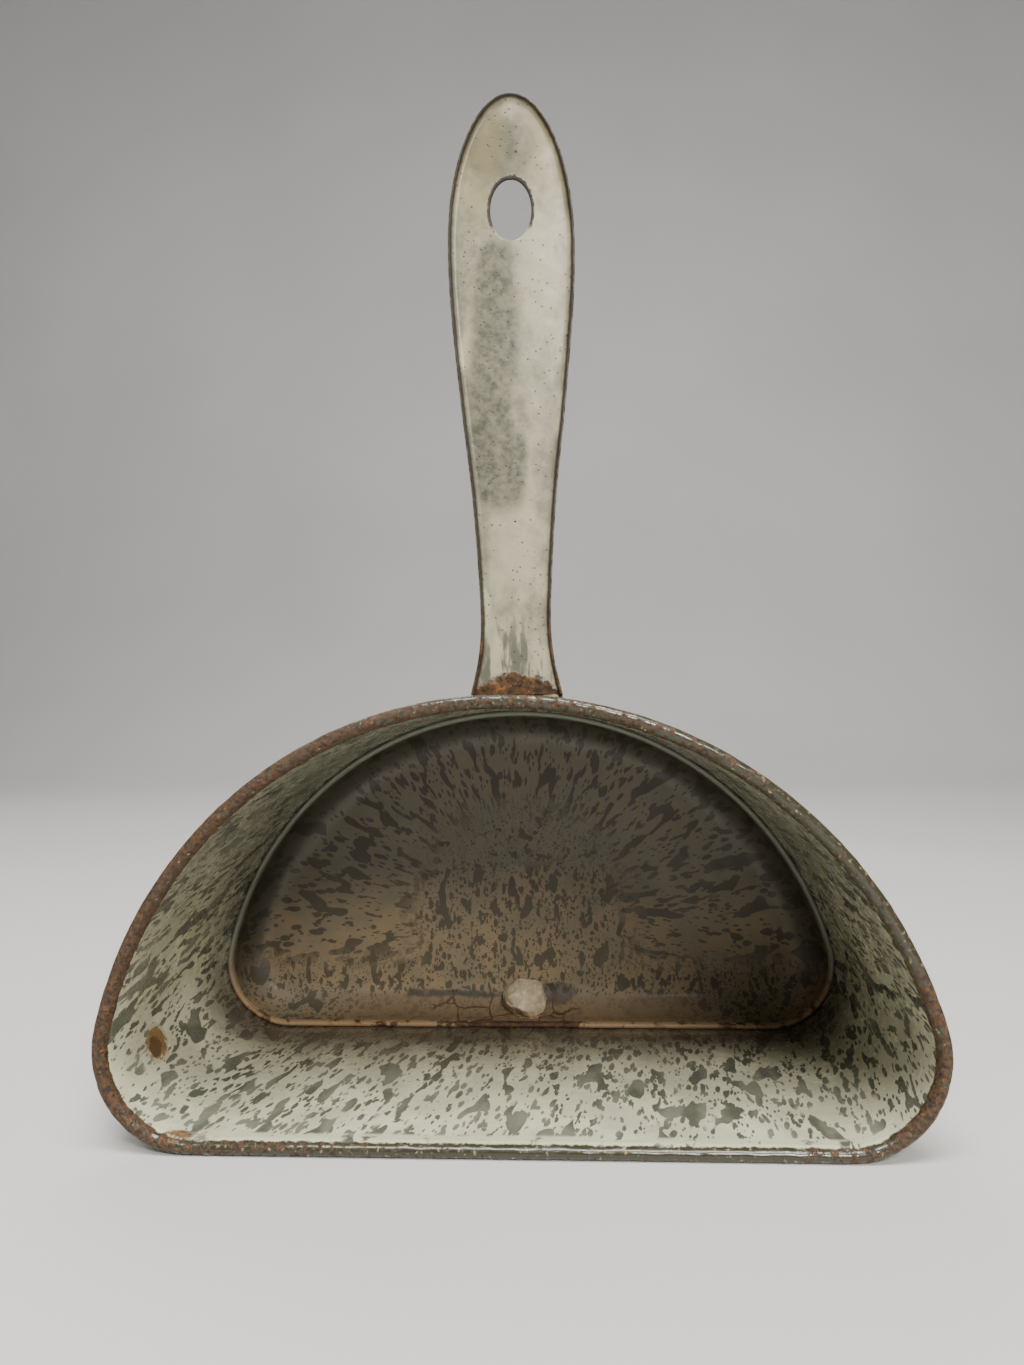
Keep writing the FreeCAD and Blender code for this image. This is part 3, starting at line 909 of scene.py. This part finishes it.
def dish_material():
    m = Shader("base_enamel_aged_painted_shade")
    where = m.pan()
    x, y, z = m.split(where)
    # Streaks run towards the middle near the arch, and hang down as drips low in the base.
    from_middle = m.minus(z, 0.045)
    radius = m.math("SQRT", m.plus(m.times(x, x), m.times(from_middle, from_middle)))
    angle = m.math("ARCTAN2", x, from_middle)
    polar = m.vector(m.times(radius, 0.38), m.times(angle, 0.066), m.times(y, 0.5))
    streaks = mottle(m, polar, 0.95, 0.01)
    drips = mottle(m, m.vector(x, y, m.times(z, 0.50)), 1.10, -0.015)
    specks = mottle(m, m.vector(m.times(x, 1.1), y, z), 0.80, -0.060)
    outer = m.ramp(m.plus(radius, m.times(m.noise(where, 12.0), 0.02)), 0.046, 0.066)
    outer = m.times(outer, m.ramp(z, 0.020, 0.036))
    upper = m.ramp(z, 0.060, 0.072)
    inside = m.most(m.times(drips, m.ramp(upper, 0.0, 1.0, 1.0, 0.25)), specks)
    mask = m.plus(m.times(streaks, outer), m.times(inside, m.minus(1.0, outer)))
    # Painted shade: the upper part of the base takes a darker colour, as if the crown shaded it; the shade's
    # edge wanders and comes lower towards the sides.
    bend = m.times(m.noise(where, 30.0, 2.0), 0.022)
    height = m.plus(m.minus(z, bend), m.times(m.size(x), 0.12))
    shade = m.ramp(height, 0.038, 0.060)
    light = m.mix(shade, BASE_LIGHT, BASE_SHADE)
    light = m.mix(m.ramp(m.noise(where, 16.0, 2.0), 0.35, 0.7, 0.0, 0.45), light, BASE_GREY)
    # Painted shade: the mottles too are darker higher up.
    colour = m.mix(mask, light, m.mix(m.ramp(z, 0.03, 0.09), BASE_DARK, BASE_DARK_SHADED))
    # Painted shade in the rounded corner, stronger higher up.
    inset = m.attribute("inset")
    inset = m.plus(inset, m.scaled(m.noise(where, 9.0), 3.0, -1.5))
    fillet_shade = m.ramp(inset, 17.5, 12.0)
    fillet_shade = m.times(fillet_shade, m.ramp(z, 0.012, 0.034, 0.20, 0.66))
    colour = m.mix(fillet_shade, colour, FILLET_SHADE_COLOUR)
    # Low in the base: a tan wash, and over it a dashed dark line and a smear beside the wad.
    smear = spot(m, where, (PLUG_X + 12.5, DISH["bottom"], 14.5), (8, 9, 4.5), 0.4, 4.0, 0.2)
    smear = m.times(smear, 0.75)
    drift = m.scaled(m.noise(where, 5.0, 3.0, 0.6), 0.003, 0.0127)
    line = m.ramp(m.size(m.minus(z, drift)), 0.0006, 0.0021, 1.0, 0.0)
    line = m.times(line, m.ramp(m.size(m.plus(x, 0.022)), 0.022, 0.034, 1.0, 0.0))
    line = m.times(line, m.ramp(m.noise(where, 18.0, 3.0), 0.42, 0.54, 0.0, 0.9))
    wash = m.times(m.ramp(z, 0.0155, 0.0125), m.ramp(m.size(x), 0.085, 0.060))
    colour = m.mix(m.times(wash, 0.70), colour, TAN_WASH)
    colour = m.mix(m.times(m.most(line, smear), 0.85), colour, SMEAR)
    # The outside is mottled like the wall, worn brown along the rounded edge that it is laid down on.
    outside = m.attribute("outside")
    outside = m.ramp(outside, 0.35, 0.65)
    outer = m.mix(mask, OUTER_LIGHT, OUTER_DARK)
    scuff = m.ramp(m.size(m.minus(inset, 15.0)), 1.0, 5.5, 1.0, 0.0)
    scuff = m.ramp(m.scaled(scuff, 0.16, m.noise(where, 6.0, 4.0, 0.62)), 0.60, 0.68)
    outer = m.mix(scuff, outer, rust_colour(m, where, 2.0))
    colour = m.mix(outside, colour, outer)
    # The rolled lip: grey-green above, tan with orange rust along the flat side and its corners.
    front = (DISH["lip"][1] + 0.9) * MM
    lip = m.ramp(y, front + 0.0004, front)
    low = m.ramp(m.plus(z, m.times(m.noise(where, 9.0), 0.016)), 0.048, 0.024)
    lip_colour = m.mix(low, LIP_GREY, TAN)
    orange = m.times(m.ramp(m.noise(where, 6.0, 4.0, 0.65), 0.50, 0.62), low)
    near_wad = spot(m, where, (PLUG_X, 112, 6), (24, 20, 9), 0.4, 5.0)
    orange = m.most(orange, near_wad)
    lip_colour = m.mix(orange, lip_colour, rust_colour(m, where, 2.4))
    colour = m.mix(lip, colour, lip_colour)
    # Fine rust cracks that spread from the wad along the flat side.
    crack = m.ramp(m.cells(warped(m, where, 6.0, 3.0), 13.0, "DISTANCE_TO_EDGE"), 0.012, 0.030, 1.0, 0.0)
    crack = m.times(crack, spot(m, where, (PLUG_X - 8, 120, 9), (30, 20, 8), 0.3, 6.0))
    colour = m.mix(crack, colour, CRACK_RUST)
    rusty = m.times(lip, orange)
    dull = m.most(rusty, m.times(m.ramp(z, 0.026, 0.020), 0.7))
    dulled = m.ramp(dull, 0.0, 1.0, 0.46, 0.70)
    roughness = m.plus(dulled, m.ramp(m.noise(where, 4.0, 3.0), 0.3, 0.7, -0.03, 0.10))
    relief = m.bump(m.noise(where, 8.0, 2.0), 0.30, 0.5)
    relief = m.bump(mask, 0.12, 0.10, relief)
    relief = m.bump(m.times(m.noise(where, 1.0, 5.0, 0.7), rusty), 0.8, 0.4, relief)
    return m.finish(colour, roughness, relief, Coat_Weight=0.04, Coat_Roughness=0.2)


def handle_material(name, foot=False):
    m = Shader(name)
    where = m.pan()
    x, y, z = m.split(where)
    up = m.minus(z, MOUTH_HEIGHT * MM)
    across = m.minus(x, HANDLE_X * MM)
    drawn = m.vector(across, y, m.times(up, 0.55))
    # Cloudy grey bloom: a long patch left of the middle, one near the tip, wisps at the waist.
    wisps = m.noise(warped(m, where, 3.0, 2.5), 3.6, 6.0, 0.68)
    soft = m.noise(warped(m, drawn, 12.0, 8.0), 15.0, 4.0, 0.6)
    wander = m.scaled(m.noise(where, 26.0, 2.0), 0.014, -0.007)
    band = m.ramp(m.size(m.plus(m.plus(across, 0.0060), wander)), 0.0, 0.016, 1.0, 0.0)
    band = m.times(band, m.times(m.ramp(up, 0.045, 0.065), m.ramp(up, 0.150, 0.125)))
    tip = spot(m, where, (HANDLE_X - 5, BLADE_BACK, MOUTH_HEIGHT + 165), (15, 20, 13), 0.5, 6.0, 0.50)
    marbled = m.ramp(wisps, 0.32, 0.68)
    fine = m.ramp(m.noise(warped(m, where, 5.0, 5.0), 2.0, 3.0), 0.35, 0.65)
    body = m.times(m.ramp(band, 0.0, 0.75), m.scaled(marbled, 0.24, 0.70))
    body = m.times(body, m.scaled(fine, 0.18, 0.90))
    tip = m.times(tip, m.scaled(marbled, 0.20, 0.80))
    brushed = m.noise(m.vector(across, y, m.times(up, 0.22)), 3.2, 3.0, 0.6)
    brushed = m.times(m.ramp(brushed, 0.42, 0.60, 0.0, 0.90), m.ramp(up, 0.040, 0.012))
    thin_grey = m.times(m.ramp(soft, 0.36, 0.60, 0.20, 0.75), m.scaled(marbled, 0.4, 0.6))
    grey = m.most(body, tip, brushed, thin_grey)
    colour = m.mix(grey, HANDLE_LIGHT, HANDLE_CLOUD)
    light = m.ramp(soft, 0.35, 0.7, 0.92, 1.08)
    colour = m.mix(1.0, colour, m.vector(light, light, light), "MULTIPLY")
    # Ochre stain round the tip and beside the hole.
    high = m.ramp(up, 0.136, 0.156)
    outward = m.ramp(m.size(across), -0.004, 0.011)
    ochre = m.times(m.times(high, outward), m.ramp(m.noise(where, 9.0, 3.0), 0.24, 0.50))
    colour = m.mix(m.times(ochre, 0.70), colour, OCHRE)
    # Pinholes in the enamel.
    pins = m.ramp(m.cells(where, 2.1), 0.120, 0.180, 1.0, 0.0)
    pins = m.times(pins, m.ramp(m.noise(where, 12.0, 2.0), 0.36, 0.48))
    dots = m.ramp(m.cells(where, 9.0), 0.045, 0.060, 1.0, 0.0)
    colour = m.mix(m.times(pins, 0.75), colour, PINHOLE)
    colour = m.mix(dots, colour, RUST_PIT)
    # Painted shade: a dark line just inside the raised edges, also made rougher. A line of bare metal and
    # rust runs on their crest.
    distance = m.attribute("edge")
    wobble = m.scaled(m.noise(where, 2.0, 3.0, 0.6), 0.5, -0.25)
    near = m.plus(distance, wobble)
    dark = m.ramp(near, 0.8, 1.5, 1.0, 0.0)
    # Painted shade: a dark ring round the hanging hole, open at its lower end.
    from_hole = m.vector(
        m.over(m.scaled(up, -HANDLE_LEAN / HANDLE_LENGTH, across), HANG_HOLE_SIZE[0] / 2 * MM),
        m.over(m.minus(up, HANG_HOLE_HEIGHT * MM), HANG_HOLE_SIZE[1] / 2 * MM),
        0.0,
    )
    ring = m.vector_math("LENGTH", from_hole, out="Value")
    ring = m.plus(ring, m.scaled(m.noise(where, 1.6, 3.0, 0.6), 0.24, -0.12))
    ring = m.ramp(ring, 1.10, 1.18, 1.0, 0.0)
    ring = m.times(ring, m.ramp(up, (HANG_HOLE_HEIGHT - 7.0) * MM, (HANG_HOLE_HEIGHT - 4.0) * MM))
    # Painted shade: a soft grey shade running inward from the raised edges, patchy with the cloud.
    shadowed = m.times(m.ramp(near, 5.0, 1.2), 0.60)
    colour = m.mix(m.times(shadowed, m.ramp(soft, 0.35, 0.60)), colour, EDGE_SHADE_GREY)
    dark = m.most(dark, ring)
    colour = m.mix(m.times(dark, 0.95), colour, EDGE_SHADE_DARK)
    crest = m.ramp(near, 0.10, 0.40, 1.0, 0.0)
    bare = m.ramp(m.noise(where, 4.0, 3.0, 0.6), 0.46, 0.58)
    crest_colour = m.mix(bare, BARE_STEEL, rust_colour(m, where, 1.6))
    colour = m.mix(m.times(crest, 0.8), colour, crest_colour)
    # Rust crust where the blade meets the rim.
    arch = m.plus(up, m.times(m.times(across, across), 28.0))
    arch = m.plus(arch, m.scaled(m.noise(where, 2.4, 4.0, 0.65), 0.006, -0.003))
    crust = m.ramp(arch, 0.0052, 0.0068, 1.0, 0.0)
    low_edge = m.times(dark, m.ramp(up, 0.034, 0.010))
    low_edge = m.times(low_edge, m.ramp(m.noise(where, 3.0, 3.0), 0.36, 0.48))
    rusty = m.most(m.times(crust, 0.0 if foot else 1.0), low_edge)
    colour = m.mix(rusty, colour, rust_colour(m, where, 2.2))
    worn = m.ramp(m.most(rusty, dark), 0.0, 1.0, 0.30, 0.60)
    roughness = m.plus(worn, m.ramp(wisps, 0.3, 0.7, -0.02, 0.10))
    relief = m.bump(m.noise(where, 6.0, 2.0), 0.30, 0.4)
    relief = m.bump(m.minus(1.0, m.most(pins, dots)), 0.5, 0.2, relief)
    relief = m.bump(m.times(m.noise(where, 1.0, 5.0, 0.7), m.most(rusty, dark)), 0.9, 0.5, relief)
    gloss = {"Specular_IOR_Level": 0.3, "Coat_Weight": 0.05, "Coat_Roughness": 0.2}
    return m.finish(colour, roughness, relief, **gloss)


def plug_material():
    m = Shader("dried_putty")
    where = m.pan()
    tone = m.ramp(m.noise(where, 5.0, 4.0, 0.6), 0.35, 0.65)
    colour = m.mix(tone, PUTTY_DARK, PUTTY_LIGHT)
    _, _, z = m.split(where)
    grime = m.times(m.ramp(z, 0.012, 0.007), m.ramp(m.noise(where, 2.5, 3.0), 0.40, 0.60))
    colour = m.mix(grime, colour, PUTTY_RUST)
    # Painted shade in the creases of the wad.
    crease = m.ramp(m.cells(warped(m, where, 3.0, 1.5), 4.5, "DISTANCE_TO_EDGE"), 0.0, 0.06, 1.0, 0.0)
    colour = m.mix(m.times(crease, 0.22), colour, PUTTY_CREASE_SHADE)
    relief = m.bump(m.noise(where, 1.6, 4.0, 0.6), 0.35, 0.3)
    relief = m.bump(m.minus(1.0, crease), 0.15, 0.2, relief)
    roughness = m.ramp(m.noise(where, 2.0, 2.0), 0.3, 0.7, 0.62, 0.85)
    return m.finish(colour, roughness, relief)


def steel_material(name, colour_a, colour_b, metal, rough):
    """For pieces kept from the CAD, which carry no pan axes: their own object coordinates serve."""
    m = Shader(name)
    where = m.node("ShaderNodeTexCoord").outputs["Object"]
    tone = m.ramp(m.noise(where, 1.8, 4.0, 0.6), 0.42, 0.60)
    colour = m.mix(tone, colour_a, colour_b)
    roughness = m.ramp(m.noise(where, 1.0, 3.0), 0.3, 0.7, rough - 0.08, rough + 0.15)
    relief = m.bump(m.noise(where, 0.8, 4.0, 0.6), 0.5, 0.25)
    return m.finish(colour, roughness, relief, Metallic=metal)


def floor_material():
    m = Shader("pale_floor")
    where = m.node("ShaderNodeTexCoord").outputs["Object"]
    tone = m.ramp(m.noise(where, 400.0, 3.0, 0.5), 0.3, 0.7)
    colour = m.mix(tone, FLOOR_DARK, FLOOR_LIGHT)
    relief = m.bump(m.noise(where, 2.0, 4.0, 0.6), 0.10, 0.2)
    return m.finish(colour, 0.55, relief)


def paint(piece, material):
    slots = piece.data.materials
    if not slots:
        slots.append(material)
    for i in range(len(slots)):
        slots[i] = material


# ---- stage, light and camera


def make_stage():
    """Pale floor that curves up into a backdrop."""
    depth, reach, wide, turn = 1.6, 1.5, 3.0, 0.6
    section = [(-reach, 0.0), (depth - turn, 0.0)]
    angles = [i * math.pi / 24 for i in range(1, 13)]
    section += [(depth - turn + turn * math.sin(a), turn - turn * math.cos(a)) for a in angles]
    section.append((depth, 3.0))
    points = [(x, y, z) for x in (-wide, wide) for y, z in section]
    count = len(section)
    faces = [(k, k + 1, count + k + 1, count + k) for k in range(count - 1)]
    mesh = bpy.data.meshes.new("studio_floor")
    mesh.from_pydata(points, [], faces)
    mesh.shade_smooth()
    floor = bpy.data.objects.new("studio_floor", mesh)
    bpy.context.scene.collection.objects.link(floor)
    paint(floor, floor_material())


def add_area(name, place, aim, size, power, colour=(1.0, 1.0, 1.0)):
    light = bpy.data.lights.new(name, "AREA")
    light.shape = "RECTANGLE"
    light.size, light.size_y = size
    light.energy = power
    light.color = colour
    lamp = bpy.data.objects.new(name, light)
    lamp.location = place
    lamp.rotation_euler = (Vector(aim) - Vector(place)).to_track_quat("-Z", "Y").to_euler()
    bpy.context.scene.collection.objects.link(lamp)


def light_scene():
    world = bpy.data.worlds.new("soft_studio")
    world.use_nodes = True
    sky = world.node_tree.nodes["Background"]
    sky.inputs["Color"].default_value = (0.80, 0.82, 0.85, 1.0)
    sky.inputs["Strength"].default_value = 0.22
    bpy.context.scene.world = world
    add_area("key_front", (0.42, -1.18, 0.94), (0.0, 0.0, 0.05), (0.5, 0.35), 22.0, (1.0, 0.97, 0.92))
    add_area("overhead_panel", (0.05, -0.42, 1.20), (0.0, -0.05, 0.05), (0.9, 0.45), 22.0, (1.0, 0.98, 0.95))
    add_area("rim_strip", (-0.35, 0.75, 1.05), (0.0, 0.0, 0.15), (1.2, 0.3), 7.0)


# The camera: how far it stands from the middle of the flat side's rim, and how it is turned.
CAMERA_DISTANCE = 294.3
CAMERA_HEIGHT = 137.8
CAMERA_X = 14.96
CAMERA_YAW = math.radians(2.79)
CAMERA_ROLL = math.radians(0.52)
FOCAL_LENGTH = 27.03


def make_camera():
    rim = row(0.0, 0.0, 0.0)
    forward = Vector((-math.sin(CAMERA_YAW), math.cos(CAMERA_YAW), 0.0))
    level = Vector((forward.y, -forward.x, 0.0))
    right = level * math.cos(CAMERA_ROLL) - Vector((0, 0, 1)) * math.sin(CAMERA_ROLL)
    up = right.cross(forward)
    data = bpy.data.cameras.new("camera")
    data.lens = FOCAL_LENGTH
    data.sensor_width = 36.0
    camera = bpy.data.objects.new("camera", data)
    place = Matrix((right, up, -forward)).transposed().to_4x4()
    place.translation = (CAMERA_X * MM, rim.y - CAMERA_DISTANCE * MM, rim.z + CAMERA_HEIGHT * MM)
    camera.matrix_world = place
    bpy.context.scene.collection.objects.link(camera)
    bpy.context.scene.camera = camera


def blade_edge_distance(p):
    """Distance in from the blade's outline (mm), near enough for the painted edge shade and the worn crest.
    """
    height = p.z - MOUTH_HEIGHT
    x = abs(p.x - HANDLE_X - HANDLE_LEAN * height / HANDLE_LENGTH)
    tip_start, wide = BLADE_SIDE[-1]
    if height < tip_start:
        return max(0.0, blade_half_width(max(0.0, height)) - x)
    tall = HANDLE_LENGTH - tip_start
    share = math.hypot(x / wide, (height - tip_start) / tall)
    slope = math.hypot(x / wide**2, (height - tip_start) / tall**2) / max(share, 1e-6)
    return max(0.0, (1 - share) / max(slope, 1e-6))


def main():
    wall = make_wall()
    dish = make_dish()
    blade = make_blade()
    foot = make_foot()
    plug = make_plug()
    paint(wall, wall_material())
    paint(dish, dish_material())
    mark_vertices(blade, "edge", blade_edge_distance)
    # The foot has no raised edge: everywhere counts as far from one, so it gets no painted edge shade and no
    # worn crest.
    mark_vertices(foot, "edge", lambda p: 9.0)
    paint(blade, handle_material("handle_enamel_aged_painted_shade"))
    paint(foot, handle_material("handle_foot_enamel", foot=True))
    paint(plug, plug_material())
    rivets = steel_material("rivet_enamel_worn", RIVET_ENAMEL, OXIDE, 0.0, 0.40)
    paint(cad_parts["handle_rivets"], rivets)
    paint(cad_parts["rim_wire"], steel_material("dull_wire", WIRE_STEEL, WIRE_RUST, 0.8, 0.45))
    make_stage()
    light_scene()
    make_camera()


main()
